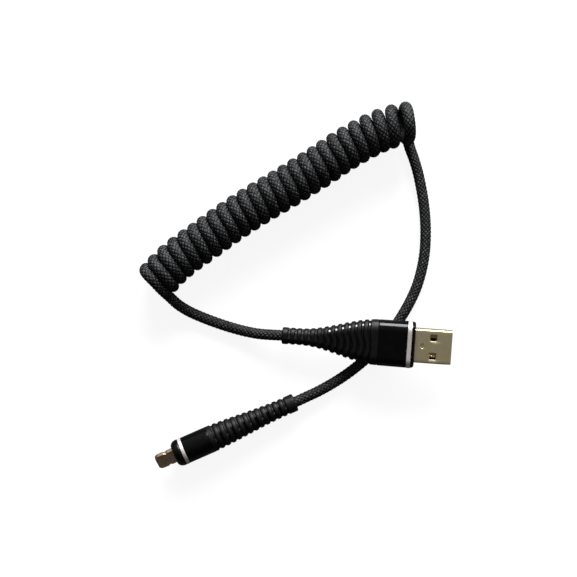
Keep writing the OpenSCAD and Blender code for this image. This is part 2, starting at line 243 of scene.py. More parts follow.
@dataclass(frozen=True)
class Outline:
    """A closed outline of round corners and straight sides, as whole arrays.

    Point k sits at (across * (w/2 - r) + (r + d) cos a, up * (h/2 - r) + (r + d) sin a): a corner
    holds across and up at +-1 while its angle a turns, and a side holds a while one of them runs.
    """

    corner_steps: int = 8
    side_steps: int = 6

    def template(self) -> tuple[Array, Array, Array]:
        """Across, up and angle of every point, anticlockwise from the middle of +across."""
        across: list[Array] = []
        up: list[Array] = []
        angle: list[Array] = []
        turn = np.linspace(0, 90, self.corner_steps + 1)
        run = np.linspace(1, -1, self.side_steps + 1)[1:-1]
        corners = [(1, 1), (-1, 1), (-1, -1), (1, -1)]
        for k, (sx, sy) in enumerate(corners):
            across.append(np.full(turn.shape, float(sx)))
            up.append(np.full(turn.shape, float(sy)))
            angle.append(turn + 90 * k)
            flat = np.full(run.shape, 90.0 * (k + 1))
            angle.append(flat)
            across.append(run * sx if k % 2 == 0 else np.full(run.shape, float(sx)))
            up.append(np.full(run.shape, float(sy)) if k % 2 == 0 else run * sy)
        return np.concatenate(across), np.concatenate(up), np.radians(np.concatenate(angle))

    def rows(self, w: Array, h: Array, r: Array, d: Array) -> tuple[Array, Array]:
        """The outline for each row of sizes.

        Args:
            w: widths, one a row.
            h: heights, one a row.
            r: corner radii, one a row.
            d: how far each point stands out along its normal, one a row or (rows, points).

        Returns:
            Across and up coordinates, each (rows, points).
        """
        across, up, angle = self.template()
        w, h, r = (np.asarray(a, float)[:, None] for a in (w, h, r))
        d = np.asarray(d, float)
        d = d[:, None] if d.ndim == 1 else d
        y = across * (w / 2 - r) + (r + d) * np.cos(angle)
        z = up * (h / 2 - r) + (r + d) * np.sin(angle)
        return y, z


@dataclass(frozen=True)
class PlugFrame:
    """Where a plug lies: its thin end, heading, pitch and roll."""

    at: tuple[float, float, float]
    heading: float
    pitch: float
    roll: float

    def axes(self) -> Array:
        """Rows are the plug's own x, y and z in the row frame: roll first, then pitch, then heading."""
        roll, pitch, head = (math.radians(a) for a in (self.roll, -self.pitch, self.heading))
        turn_x = np.array([
            [1, 0, 0],
            [0, math.cos(roll), -math.sin(roll)],
            [0, math.sin(roll), math.cos(roll)],
        ])
        turn_y = np.array([
            [math.cos(pitch), 0, math.sin(pitch)],
            [0, 1, 0],
            [-math.sin(pitch), 0, math.cos(pitch)],
        ])
        turn_z = np.array([
            [math.cos(head), -math.sin(head), 0],
            [math.sin(head), math.cos(head), 0],
            [0, 0, 1],
        ])
        return (turn_z @ turn_y @ turn_x).T

    def place(self, local: Array) -> Array:
        """Points of the plug's own frame, moved to the row frame, still in millimetres."""
        return local @ self.axes() + np.array(self.at)

    def on_axis(self, x: float) -> Array:
        """The point of the plug's axis at station x."""
        return self.place(np.array([x, 0.0, 0.0]))

    def loft(
        self,
        name: str,
        x: Array,
        w: Array,
        h: Array,
        r: Array,
        d: Array | None = None,
        ring: bool = True,
        shape: Outline = Outline(),
        x_shift: Array | None = None,
    ) -> bpy.types.Object:
        """A surface whose rows are outlines across the plug at stations x.

        Args:
            name: the object's name.
            x: station of each row.
            w: width of each row.
            h: height of each row.
            r: corner radius of each row.
            d: stand-out of each row or point.
            ring: the last row joins the first, so the rows run out along the outside and back inside.
            shape: the outline's template.
            x_shift: added to x point by point.

        Returns:
            The object.
        """
        x = np.asarray(x, float)
        sizes = [np.broadcast_to(np.asarray(a, float), x.shape) for a in (w, h, r)]
        stand = np.zeros(x.shape) if d is None else np.asarray(d, float)
        y, z = shape.rows(*sizes, stand)
        stations = np.broadcast_to(x[:, None], y.shape)
        if x_shift is not None:
            stations = stations + x_shift
        local = np.stack([stations, y, z], axis=-1)
        middle = local[0]
        around = chord_lengths(np.vstack([middle, middle[:1]]))
        radial = np.abs(y.mean(axis=1) - y[:, 0])
        run = np.hypot(np.diff(x), np.diff(radial))
        along = np.concatenate([[0.0], np.cumsum(run)])
        if ring:
            along = np.concatenate([along, [along[-1] + abs(x[-1] - x[0])]])
        return grid_mesh(
            name, self.place(local), wrap_rows=ring, cap_ends=not ring, row_uv=along, col_uv=around,
        )


def sleeve_rows(
    x0: float, x1: float, outer: float, inner: float, edge: float, steps: int = 4,
) -> tuple[Array, Array]:
    """Profile of a sleeve with rounded edges: out along the outside, back along the inside.

    Each of the four edges is a quarter circle of radius edge.

    Args:
        x0: back end.
        x1: front end.
        outer: stand-out of the outside.
        inner: stand-out of the inside.
        edge: radius of the edges.
        steps: points on each quarter circle, less one.

    Returns:
        Stations and stand-outs of the closed profile.
    """
    turn = np.radians(np.linspace(0, 90, steps + 1))
    length = np.linspace(x0 + edge, x1 - edge, 8)[1:-1]
    xs = [
        x0 + edge - edge * np.cos(turn), length, x1 - edge + edge * np.sin(turn),
        x1 - edge + edge * np.cos(turn), length[::-1], x0 + edge - edge * np.sin(turn),
    ]
    ds = [
        outer - edge + edge * np.sin(turn), np.full(6, outer), outer - edge + edge * np.cos(turn),
        inner + edge - edge * np.sin(turn), np.full(6, inner), inner + edge - edge * np.cos(turn),
    ]
    return np.concatenate(xs), np.concatenate(ds)


# ------------------------------------------------------------------ shader groups


class Shader:
    """A small helper round one node tree."""

    def __init__(self, tree: bpy.types.NodeTree) -> None:
        """Keeps the tree."""
        self.tree = tree

    def add(self, kind: str, **values: object) -> bpy.types.Node:
        """A new node with its properties set."""
        node = self.tree.nodes.new(kind)
        for key, value in values.items():
            setattr(node, key, value)
        return node

    def feed(self, node: bpy.types.Node, socket: int | str, source: object) -> None:
        """Links source to a socket, or sets the socket's own value where source is a number or colour."""
        target = node.inputs[socket]
        if isinstance(source, bpy.types.NodeSocket):
            self.tree.links.new(source, target)
        else:
            target.default_value = source

    def math(self, operation: str, *sources: object) -> bpy.types.NodeSocket:
        """The result of a Math node on these sources."""
        node = self.add("ShaderNodeMath", operation=operation)
        for k, source in enumerate(sources):
            self.feed(node, k, source)
        return node.outputs[0]

    def mix(self, factor: object, low: object, high: object) -> bpy.types.NodeSocket:
        """A colour between low and high."""
        node = self.add("ShaderNodeMix", data_type="RGBA")
        self.feed(node, 0, factor)
        self.feed(node, 6, low)
        self.feed(node, 7, high)
        return node.outputs[2]

    def span(
        self, source: object, low: float, high: float, to_low: float, to_high: float,
    ) -> bpy.types.NodeSocket:
        """source moved from the span low..high to the span to_low..to_high, held at its ends."""
        node = self.add("ShaderNodeMapRange", clamp=True)
        for k, value in enumerate((source, low, high, to_low, to_high)):
            self.feed(node, k, value)
        return node.outputs[0]

    def noise(self, vector: object, scale: object, detail: float, rough: float = 0.5) -> bpy.types.NodeSocket:
        """Noise from 0 to 1."""
        node = self.add("ShaderNodeTexNoise")
        self.feed(node, "Vector", vector)
        self.feed(node, "Scale", scale)
        self.feed(node, "Detail", detail)
        self.feed(node, "Roughness", rough)
        return node.outputs[0]


Socket = tuple[str, str, object]


def new_group(
    name: str,
    inputs: Sequence[Socket],
    outputs: Sequence[tuple[str, str]],
    wire: Callable[[Shader, bpy.types.Node, bpy.types.Node], None],
) -> bpy.types.NodeTree:
    """A shader node group with named sockets.

    Args:
        name: the group's name.
        inputs: name, kind and starting value of each input.
        outputs: name and kind of each output.
        wire: fills the group, given its helper, input node and output node.

    Returns:
        The group.
    """
    tree = bpy.data.node_groups.new(name, "ShaderNodeTree")
    for label, kind, value in inputs:
        socket = tree.interface.new_socket(label, in_out="INPUT", socket_type=kind)
        if value is not None:
            socket.default_value = value
    for label, kind in outputs:
        tree.interface.new_socket(label, in_out="OUTPUT", socket_type=kind)
    shader = Shader(tree)
    wire(shader, shader.add("NodeGroupInput"), shader.add("NodeGroupOutput"))
    return tree


FLOAT, COLOR, VECTOR = "NodeSocketFloat", "NodeSocketColor", "NodeSocketVector"


def braid_group() -> bpy.types.NodeTree:
    """Strands and yarns of a braid, from skin coordinates U along and V around.

    With a = V + U and b = V - U, a strand of the first family runs along whole values of a, one of the
    second along whole values of b, and sin(pi a) sin(pi b) says which lies on top. Across a strand the
    crown is 1 - (2 frac - 1)^2. The yarns are fine cosine ridges along it, and every crossing has its own
    brightness from white noise. The glint output is a painted highlight: each crossing's crown, lighter
    along its yarns and by that brightness, for the material to put into the colour.
    """

    def wire(s: Shader, into: bpy.types.Node, out: bpy.types.Node) -> None:
        split = s.add("ShaderNodeSeparateXYZ")
        s.feed(split, 0, into.outputs["Skin"])
        u, v = split.outputs[0], split.outputs[1]
        a, b = s.math("ADD", v, u), s.math("SUBTRACT", v, u)
        wave_a = s.math("SINE", s.math("MULTIPLY", a, math.pi))
        wave_b = s.math("SINE", s.math("MULTIPLY", b, math.pi))
        over = s.math("MULTIPLY", wave_a, wave_b)
        first = s.math("GREATER_THAN", over, 0.0)
        second = s.math("SUBTRACT", 1.0, first)
        lane = s.math("ADD", s.math("MULTIPLY", a, first), s.math("MULTIPLY", b, second))
        crown = s.math("MULTIPLY", s.math("MULTIPLY", wave_a, wave_a), s.math("MULTIPLY", wave_b, wave_b))
        turns = s.math("MULTIPLY", s.math("MULTIPLY", lane, into.outputs["Yarns"]), 2 * math.pi)
        yarn = s.span(s.math("COSINE", turns), -1.0, 1.0, 1.0, 0.0)
        cell = s.add("ShaderNodeCombineXYZ")
        s.feed(cell, 0, s.math("FLOOR", a))
        s.feed(cell, 1, s.math("FLOOR", b))
        dice = s.add("ShaderNodeTexWhiteNoise", noise_dimensions="2D")
        s.feed(dice, "Vector", cell.outputs[0])
        bright = s.span(dice.outputs["Value"], 0.0, 1.0, 0.3, 1.0)
        # painted highlight: the crossing's crown and yarn ridges made lighter as glints, each crossing at its
        # own random brightness
        lit = s.math("MULTIPLY", bright, s.span(crown, 0.03, 0.5, 0.0, 1.0))
        painted_glint = s.math("MULTIPLY", lit, s.span(yarn, 0.15, 0.9, 0.12, 1.0))
        fuzz = s.noise(into.outputs["Skin"], 14.0, 4.0, 0.7)
        height = s.math("ADD", s.math("MULTIPLY", crown, 1.0), s.math("MULTIPLY", yarn, 0.22))
        s.feed(out, "Height", s.math("ADD", height, s.math("MULTIPLY", fuzz, 0.12)))
        s.feed(out, "Crown", crown)
        s.feed(out, "PaintedGlint", painted_glint)
        s.feed(out, "Roughness", s.span(fuzz, 0.3, 0.7, 0.45, 0.7))

    inputs = [("Skin", VECTOR, None), ("Yarns", FLOAT, 3.0)]
    outputs = [("Height", FLOAT), ("Crown", FLOAT), ("PaintedGlint", FLOAT), ("Roughness", FLOAT)]
    return new_group("braid_yarns", inputs, outputs, wire)


def grain_group() -> bpy.types.NodeTree:
    """Moulded grain and dust: fine noise for height, broad noise for where it is dusty or rubbed."""

    def wire(s: Shader, into: bpy.types.Node, out: bpy.types.Node) -> None:
        place = into.outputs["Place"]
        fine = s.noise(place, s.math("MULTIPLY", into.outputs["Scale"], 6.0), 3.0, 0.6)
        broad = s.noise(place, into.outputs["Scale"], 5.0, 0.62)
        specks = s.noise(place, s.math("MULTIPLY", into.outputs["Scale"], 3.1), 2.0, 0.5)
        s.feed(out, "Height", s.math("ADD", s.math("MULTIPLY", fine, 0.7), s.math("MULTIPLY", broad, 0.3)))
        s.feed(out, "Rubbed", s.span(broad, 0.42, 0.68, 0.0, 1.0))
        s.feed(out, "Dust", s.span(specks, 0.66, 0.74, 0.0, 1.0))

    inputs = [("Place", VECTOR, None), ("Scale", FLOAT, 100.0)]
    outputs = [("Height", FLOAT), ("Rubbed", FLOAT), ("Dust", FLOAT)]
    return new_group("moulded_grain", inputs, outputs, wire)


def brushed_group() -> bpy.types.NodeTree:
    """Brushed metal: noise stretched along one skin direction, with a broad tarnish mask."""

    def wire(s: Shader, into: bpy.types.Node, out: bpy.types.Node) -> None:
        squeeze = s.add("ShaderNodeVectorMath", operation="MULTIPLY")
        s.feed(squeeze, 0, into.outputs["Place"])
        s.feed(squeeze, 1, into.outputs["Stretch"])
        lines = s.noise(squeeze.outputs[0], into.outputs["Scale"], 3.0, 0.6)
        broad = s.noise(into.outputs["Place"], s.math("MULTIPLY", into.outputs["Scale"], 0.12), 4.0, 0.6)
        s.feed(out, "Lines", lines)
        s.feed(out, "Tarnish", s.span(broad, 0.4, 0.7, 0.0, 1.0))

    inputs = [("Place", VECTOR, None), ("Stretch", VECTOR, (1.0, 12.0, 1.0)), ("Scale", FLOAT, 4.0)]
    outputs = [("Lines", FLOAT), ("Tarnish", FLOAT)]
    return new_group("brushed_metal", inputs, outputs, wire)


# ------------------------------------------------------------------ finishes


@dataclass(frozen=True)
class Finish:
    """What every finish shares: a name and how it makes its material."""

    name: str

    def start(self) -> tuple[bpy.types.Material, Shader, bpy.types.Node]:
        """A material with only a Principled shader, its helper and that shader."""
        material = bpy.data.materials.new(self.name)
        material.use_nodes = True
        material.node_tree.nodes.clear()
        s = Shader(material.node_tree)
        shader = s.add("ShaderNodeBsdfPrincipled")
        s.feed(s.add("ShaderNodeOutputMaterial"), "Surface", shader.outputs[0])
        return material, s, shader

    def put_group(self, s: Shader, name: str, **values: object) -> bpy.types.Node:
        """A group node of that name with its inputs fed."""
        node = s.add("ShaderNodeGroup", node_tree=bpy.data.node_groups[name])
        for key, value in values.items():
            s.feed(node, key, value)
        return node

    def relief(self, s: Shader, shader: bpy.types.Node, height: bpy.types.NodeSocket, depth: float) -> None:
        """A Bump node from height, depth in metres, on the shader's normal."""
        node = s.add("ShaderNodeBump")
        s.feed(node, "Strength", 1.0)
        s.feed(node, "Distance", depth)
        s.feed(node, "Height", height)
        s.feed(shader, "Normal", node.outputs[0])

    def make(self) -> bpy.types.Material:
        """The finished material."""
        raise NotImplementedError


@dataclass(frozen=True)
class BraidedNylon(Finish):
    """Black braided sleeve: painted shade in the hollows between strands and painted glints on the crossings.
    """

    # hollow colour: painted shade down between the strands
    hollow_shade: Rgb = (0.0003, 0.0003, 0.0004)
    strand: Rgb = (0.002, 0.002, 0.0024)
    # glint colour: painted highlight on the crossings' yarns
    painted_glint: Rgb = (0.115, 0.12, 0.128)
    yarns: float = 2.0
    relief_depth: float = 0.00014

    def make(self) -> bpy.types.Material:
        """Strand colour by the crown mask, with painted shade in the hollows and a painted glint on top."""
        material, s, shader = self.start()
        skin = s.add("ShaderNodeUVMap", uv_map=SKIN)
        braid = self.put_group(s, "braid_yarns", Skin=skin.outputs[0], Yarns=self.yarns)
        # painted shade: the hollows between strands darker by the crown mask; the painted glint goes on top
        body = s.mix(braid.outputs["Crown"], (*self.hollow_shade, 1), (*self.strand, 1))
        s.feed(shader, "Base Color", s.mix(braid.outputs["PaintedGlint"], body, (*self.painted_glint, 1)))
        s.feed(shader, "Roughness", braid.outputs["Roughness"])
        s.feed(shader, "Specular IOR Level", 0.15)
        self.relief(s, shader, braid.outputs["Height"], self.relief_depth)
        return material


@dataclass(frozen=True)
class MouldedRubber(Finish):
    """Satin black rubber: lighter on its crowns and darker in its slots by the crown mask, partly rubbed wear
    and partly painted shade, with specks of dust.
    """

    # dark: colour of the grooves, painted shade there; rubbed: colour of the crowns, partly wear
    dark: Rgb = (0.002, 0.002, 0.002)
    rubbed: Rgb = (0.0045, 0.0045, 0.0047)
    dust: Rgb = (0.03, 0.03, 0.028)
    roughness: tuple[float, float] = (0.36, 0.52)

    def make(self) -> bpy.types.Material:
        """Grain by object place; crowns lighter by the crown mask, partly rubbed wear and partly painted shade
        in the grooves.
        """
        material, s, shader = self.start()
        place = s.add("ShaderNodeTexCoord")
        crown = s.add("ShaderNodeAttribute", attribute_name="crown")
        grain = self.put_group(s, "moulded_grain", Place=place.outputs["Object"], Scale=900.0)
        # crown mask times rubbed noise: rubbed wear on the crowns, and painted shade that keeps the grooves
        # darker
        wear_and_groove_shade = s.math("MULTIPLY", crown.outputs["Fac"], s.span(grain.outputs["Rubbed"], 0.0, 1.0, 0.45, 1.0))
        body = s.mix(wear_and_groove_shade, (*self.dark, 1), (*self.rubbed, 1))
        dusty = s.math("MULTIPLY", grain.outputs["Dust"], 0.25)
        s.feed(shader, "Base Color", s.mix(dusty, body, (*self.dust, 1)))
        polished, plain = self.roughness
        s.feed(shader, "Roughness", s.span(grain.outputs["Rubbed"], 0.0, 1.0, plain, polished))
        s.feed(shader, "Specular IOR Level", 0.2)
        self.relief(s, shader, grain.outputs["Height"], 0.00002)
        return material


@dataclass(frozen=True)
class Metal(Finish):
    """Brushed, plated or polished metal."""

    bright: Rgb = (0.8, 0.8, 0.8)
    tarnish: Rgb = (0.6, 0.6, 0.6)
    roughness: tuple[float, float] = (0.2, 0.3)
    stretch: tuple[float, float, float] = (1.0, 12.0, 1.0)
    scale: float = 4.0
    depth: float = 0.000004
    metallic: float = 1.0

    def make(self) -> bpy.types.Material:
        """Lines and tarnish from the brushed group on the skin coordinates."""
        material, s, shader = self.start()
        skin = s.add("ShaderNodeUVMap", uv_map=SKIN)
        brushed = self.put_group(
            s, "brushed_metal", Place=skin.outputs[0], Stretch=self.stretch, Scale=self.scale,
        )
        s.feed(shader, "Base Color", s.mix(brushed.outputs["Tarnish"], (*self.bright, 1), (*self.tarnish, 1)))
        s.feed(shader, "Roughness", s.span(brushed.outputs["Lines"], 0.3, 0.7, *self.roughness))
        s.feed(shader, "Metallic", self.metallic)
        self.relief(s, shader, brushed.outputs["Lines"], self.depth)
        return material


@dataclass(frozen=True)
class GlossShell(Finish):
    """Gloss or satin hard surface with faint handling marks."""

    colour: Rgb = (0.0009, 0.001, 0.0013)
    faded: Rgb = (0.0018, 0.002, 0.0024)
    roughness: tuple[float, float] = (0.12, 0.22)
    coat: float = 0.0
    scale: float = 350.0
    depth: float = 0.000004
    gloss: float = 0.2

    def make(self) -> bpy.types.Material:
        """Grain by object place, a thin coat on top."""
        material, s, shader = self.start()
        place = s.add("ShaderNodeTexCoord")
        grain = self.put_group(s, "moulded_grain", Place=place.outputs["Object"], Scale=self.scale)
        s.feed(shader, "Base Color", s.mix(grain.outputs["Rubbed"], (*self.colour, 1), (*self.faded, 1)))
        s.feed(shader, "Roughness", s.span(grain.outputs["Rubbed"], 0.0, 1.0, *self.roughness))
        s.feed(shader, "Specular IOR Level", self.gloss)
        s.feed(shader, "Coat Weight", self.coat)
        s.feed(shader, "Coat Roughness", 0.08)
        self.relief(s, shader, grain.outputs["Height"], self.depth)
        return material


@dataclass
class Palette:
    """Every finish of the cable, made once."""

    materials: dict[str, bpy.types.Material] = field(default_factory=dict)

    def build(self) -> None:
        """Makes the shared groups, then one material a finish."""
        braid_group()
        grain_group()
        brushed_group()
        finishes: list[Finish] = [
            BraidedNylon("cord_braid"),
            MouldedRubber("relief_rubber"),
            GlossShell("black_anodised"),
            GlossShell("black_plastic", (0.0009, 0.0009, 0.001), (0.0018, 0.0018, 0.002), (0.18, 0.3)),
            Metal(
                "bright_trim", (0.74, 0.69, 0.67), (0.7, 0.61, 0.58), (0.36, 0.46),
                stretch=(1.0, 0.1, 1.0), scale=3.0, depth=0.000002, metallic=0.5,
            ),
            Metal(
                "nickel_shell", (0.8, 0.69, 0.43), (0.75, 0.65, 0.4), (0.28, 0.36),
                stretch=(1.0, 6.0, 1.0), scale=3.0, depth=0.000002, metallic=0.86,
            ),
            Metal(
                "nickel_tab", (0.66, 0.5, 0.36), (0.58, 0.43, 0.31), (0.22, 0.3),
                stretch=(1.0, 6.0, 1.0), scale=3.0, depth=0.000002,
            ),
            Metal("gold_contact", (0.75, 0.52, 0.24), (0.5, 0.32, 0.14), (0.18, 0.3), (1.0, 3.0, 1.0), 6.0),
            Metal("plain_steel", (0.55, 0.55, 0.55), (0.4, 0.4, 0.4), (0.25, 0.4)),
            GlossShell("panel_amber", (0.5, 0.36, 0.25), (0.55, 0.4, 0.28), (0.3, 0.42), 0.1, 900.0),
            GlossShell("dark_insulator", (0.006, 0.006, 0.006), (0.01, 0.01, 0.01), (0.4, 0.5), 0.0, 500.0),
            GlossShell("pale_mould", (0.5, 0.49, 0.44), (0.56, 0.55, 0.5), (0.4, 0.55), 0.0, 500.0),
            GlossShell("green_board", (0.01, 0.09, 0.035), (0.02, 0.13, 0.05), (0.25, 0.35), 0.2, 800.0),
            GlossShell("red_wire", (0.4, 0.012, 0.01), (0.48, 0.03, 0.02), (0.3, 0.42), 0.1, 900.0),
            GlossShell("black_wire", (0.008, 0.008, 0.008), (0.02, 0.02, 0.02), (0.3, 0.42), 0.1, 900.0),
            GlossShell("white_wire", (0.6, 0.6, 0.58), (0.7, 0.7, 0.68), (0.3, 0.42), 0.1, 900.0),
            GlossShell("green_wire", (0.01, 0.15, 0.03), (0.02, 0.2, 0.05), (0.3, 0.42), 0.1, 900.0),
        ]
        for finish in finishes:
            self.materials[finish.name] = finish.make()
            log.info("finish %s", finish.name)

    def dress(self, obj: bpy.types.Object, slot: str) -> None:
        """Gives a piece that finish and names its slot."""
        obj.data.materials.clear()
        obj.data.materials.append(self.materials[slot])


def settle(obj: bpy.types.Object, palette: Palette, slot: str, body: Body, *nodes: str) -> bpy.types.Object:
    """Dresses a finished piece, rides it on its body and lets it stand for CAD nodes."""
    palette.dress(obj, slot)
    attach(obj, body.value)
    if nodes:
        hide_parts(*nodes)
    log.info("piece %s: %d faces", obj.name, len(obj.data.polygons))
    return obj


# ------------------------------------------------------------------ where things lie

FLAT_FRAME = PlugFrame(at=(-7.7, 21.0, 5.6), heading=-3.9, pitch=5.5, roll=7.0)
SLIM_FRAME = PlugFrame(at=(-3.1, -2.9, 3.3), heading=203.45, pitch=2.85, roll=-43.0)

COIL_ROUTE = np.array([
    [-51.6, 41.2], [-47, 46], [-41.5, 50.5], [-36, 54.3], [-29.5, 59], [-22.5, 63.8], [-15.5, 68.2],
    [-8, 72.6], [-1, 76.9], [6, 81.3], [13, 86], [20.5, 90.4], [25.2, 92.8], [30.2, 94.8], [37.3, 96.4],
])
USB_ROUTE = np.array([
    [-56.1, 44, 10.4], [-54.7, 42.2, 12.7], [-52.5, 39.95, 12.7], [-50.45, 37.6, 10.9], [-47.7, 34.8, 7.8],
    [-44.65, 31.8, 4.6], [-41.2, 29.55, 2.7], [-36.15, 27.25, 1.9], [-31.1, 25.35, 1.9], [-26, 23.7, 2.1],
    [-21, 22.4, 2.9], [-16, 21.5, 4], [-12, 21.2, 4.9],
])
SLIM_ROUTE = np.array([
    [37.89, 88.63, 1.9], [39.34, 84.55, 1.9], [40.65, 80.34, 1.9], [41.95, 74.53, 1.9],
    [42.95, 68.52, 1.9], [43.55, 62.51, 1.9], [43.68, 56.5, 1.9], [43.32, 50.47, 1.9], [42.26, 44.44, 1.9],
    [40.5, 38.39, 1.9], [37.91, 32.64, 1.9], [34.5, 26.81, 1.9], [30.67, 21.29, 1.9], [26.04, 15.97, 1.9],
    [21.01, 11.36, 1.9], [15.38, 6.96, 1.9], [9.7, 3.33, 2.1], [4.55, 0.56, 2.5], [1, -1.05, 2.95],
])


@dataclass
class BraidedCord:
    """The whole cord: from the flat plug, round the coil, to the slim plug, as one continuous braid."""

    diameter: float = 3.8
    crown_over: float = 0.1
    coil_outside: float = 15.4
    start_turn: float = 27.6
    start_along: float = -0.8
    whole_turns: int = 25
    end_back: float = 0.9
    spread: float = 0.35
    last_throw: float = 1.75
    sway: float = 0.12
    fatter: float = 0.12
    strands: int = 8
    cell: float = 1.5
    relief: float = 0.22
    ring_step: float = 0.37
    around: int = 32
    inside_plug: float = 2.4
    coil_rings: tuple[int, int] = (0, 0)
    turn_points: int = 24
    home_turns: float = 0.42
    lean_most: float = 0.75
    lean_turns: float = 6.0
    blend_in: float = 4.0
    blend_out: float = 9.0

    def coil_axis(self) -> tuple[Array, Array]:
        """The coil's own centreline, sampled finely, and the distance along it."""
        flat = np.column_stack([COIL_ROUTE, np.full(len(COIL_ROUTE), self.coil_outside / 2)])
        line = spline(flat, 24)
        return line, chord_lengths(line)

    def coil_points(self) -> tuple[Array, Array]:
        """The helix round the coil's centreline, 24 points a turn, and the centreline's direction there.

        At turn number k the angle is start - 360 k, measured from the level normal towards +Z. The distance
        along the centreline grows evenly, plus a small sine hump and a sway of two waves a turn, which fills
        the outline at both sides. The last turns lean outwards, and the very last one comes home under itself.

        Returns:
            Helix points and directions, each (n, 3).
        """
        line, along = self.coil_axis()
        total = self.whole_turns + (self.start_turn + 90.0) / 360.0
        turns = np.arange(1.0 / self.turn_points, total, 1.0 / self.turn_points)
        turns = np.append(turns, total)
        span = along[-1] - self.end_back - self.start_along
        left = total - turns
        home = 1 - smooth((self.home_turns - left) / self.home_turns)
        lean = self.lean_most * smooth((self.lean_turns - left) / 5.0)
        lean = lean + self.last_throw * smooth((1.4 - left) / 0.7)
        sway = self.sway * np.sin(4 * np.pi * (turns - self.start_turn / 360.0))
        place = self.start_along + span * turns / total + self.spread * np.sin(np.pi * turns / total)
        place = place + sway + lean * home
        centre = np.stack([np.interp(place, along, line[:, k]) for k in range(3)], axis=1)
        first = unit(line[1] - line[0])
        centre = centre + np.minimum(place, 0)[:, None] * first
        held = np.clip(place, 0.5, along[-1] - 0.5)
        ahead = np.stack([np.interp(held + 0.5, along, line[:, k]) for k in range(3)], axis=1)
        behind = np.stack([np.interp(held - 0.5, along, line[:, k]) for k in range(3)], axis=1)
        direction = unit(ahead - behind)
        normal = np.column_stack([-direction[:, 1], direction[:, 0], np.zeros(len(direction))])
        angle = np.radians(self.start_turn - 360.0 * turns)[:, None]
        radius = (self.coil_outside - self.diameter) / 2 - self.fatter
        upright = np.array([0.0, 0.0, 1.0])
        return centre + radius * (np.cos(angle) * normal + np.sin(angle) * upright), direction

    def whole_line(self) -> tuple[Array, Array, list[int]]:
        """The cord's centreline from plug to plug, a reference direction along it, and where it is split.

        The reference is the coil's own direction round the coil and on the flat plug's lead, and it turns
        up to +Z along the slim plug's lead, so the braid's frame never flips.

        Returns:
            Points, references and the two indices where the coil starts and ends.
        """
        inside_flat = np.array([FLAT_FRAME.on_axis(x) for x in (self.inside_plug, -1.0)])
        inside_slim = np.array([SLIM_FRAME.on_axis(x) for x in (-1.0, self.inside_plug)])
        helix, direction = self.coil_points()
        lead_in = np.vstack([inside_flat, USB_ROUTE[::-1]])
        lead_out = np.vstack([SLIM_ROUTE, inside_slim])
        points = np.vstack([lead_in, helix, lead_out])
        up = np.array([0.0, 0.0, 1.0])
        lift = smooth(np.linspace(-0.1, 1.6, len(lead_out)))[:, None]
        out_reference = (1 - lift) * direction[-1] + lift * up
        references = np.vstack([np.repeat(direction[:1], len(lead_in), axis=0), direction, out_reference])
        each = 6
        fine = spline(points, each)
        index = np.linspace(0, len(points) - 1, len(fine))
        knots = np.arange(len(points))
        carried = np.stack([np.interp(index, knots, references[:, k]) for k in range(3)], axis=1)
        marks = np.array([len(lead_in) - 1, len(lead_in) + len(helix)]) * each
        along = chord_lengths(fine)
        even, carried = evenly(fine, self.ring_step, carried)
        step = along[-1] / (len(even) - 1)
        return even, carried, [int(round(along[m] / step)) for m in marks]

    def skin(self, line: Array, reference: Array, first_ring: int, fat: Array) -> Array:
        """The braided surface round a stretch of the centreline.

        With a = n v + s / p and b = n v - s / p, where v runs once round and s along, a strand's crown is
        1 - (2 frac - 1)^2 across it, and sin(pi a) sin(pi b) lifts one family over the other.

        Args:
            line: centreline points.
            reference: reference direction at each.
            first_ring: number of the first ring, so that the pattern carries on.
            fat: what each ring's radius gains.

        Returns:
            Points (rings, around, 3).
        """
        tangent = unit(np.gradient(line, axis=0))
        side = unit(reference - (reference * tangent).sum(axis=1, keepdims=True) * tangent)
        up = np.cross(tangent, side)
        v = np.arange(self.around) / self.around
        s = (first_ring + np.arange(len(line)))[:, None] * self.ring_step / self.cell
        a = self.strands * v + s
        b = self.strands * v - s
        over = np.sin(np.pi * a) * np.sin(np.pi * b)
        crown_a = 1 - (2 * (a % 1) - 1) ** 2
        crown_b = 1 - (2 * (b % 1) - 1) ** 2
        crown = np.maximum(crown_a * (0.5 + 0.5 * over), crown_b * (0.5 - 0.5 * over))
        radius = self.diameter / 2 + self.crown_over - self.relief + self.relief * crown + fat[:, None]
        turn = 2 * np.pi * v
        ring = np.cos(turn)[None, :, None] * side[:, None, :] + np.sin(turn)[None, :, None] * up[:, None, :]
        return line[:, None, :] + radius[:, :, None] * ring

    def stretch(
        self, name: str, line: Array, reference: Array, low: int, high: int, palette: Palette,
    ) -> bpy.types.Object:
        """One stretch of the cord, from ring low to ring high, as a dressed mesh."""
        ring = np.arange(low, high + 1)
        coil_start, coil_end = self.coil_rings
        fat = self.fatter * smooth((ring - coil_start) / 30 + 0.5) * smooth((coil_end - ring) / 30 + 0.5)
        points = self.skin(line[low : high + 1], reference[low : high + 1], low, fat)
        rings = ring * self.ring_step / self.cell
        lanes = np.arange(self.around + 1) / self.around * self.strands
        obj = grid_mesh(name, points, cap_ends=True, row_uv=rings, col_uv=lanes)
        palette.dress(obj, "cord_braid")
        log.info("cord %s: %d faces", name, len(obj.data.polygons))
        return obj

    def build(self, palette: Palette) -> None:
        line, reference, (start, end) = self.whole_line()
        self.coil_rings = (start, end)
        last = len(line) - 1
        lead = self.stretch("flat_plug_lead", line, reference, 0, start, palette)
        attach(lead, Body.CORD.value)
        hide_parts("usb_lead")
        coil = self.stretch("curly_cord", line, reference, start, end, palette)
        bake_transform(coil)
        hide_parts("coil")
        slim = self.stretch("slim_plug_lead", line, reference, end, last, palette)
        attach(slim, Body.SLIM_CORD.value)
        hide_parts("slim_lead")


# ------------------------------------------------------------------ flat plug


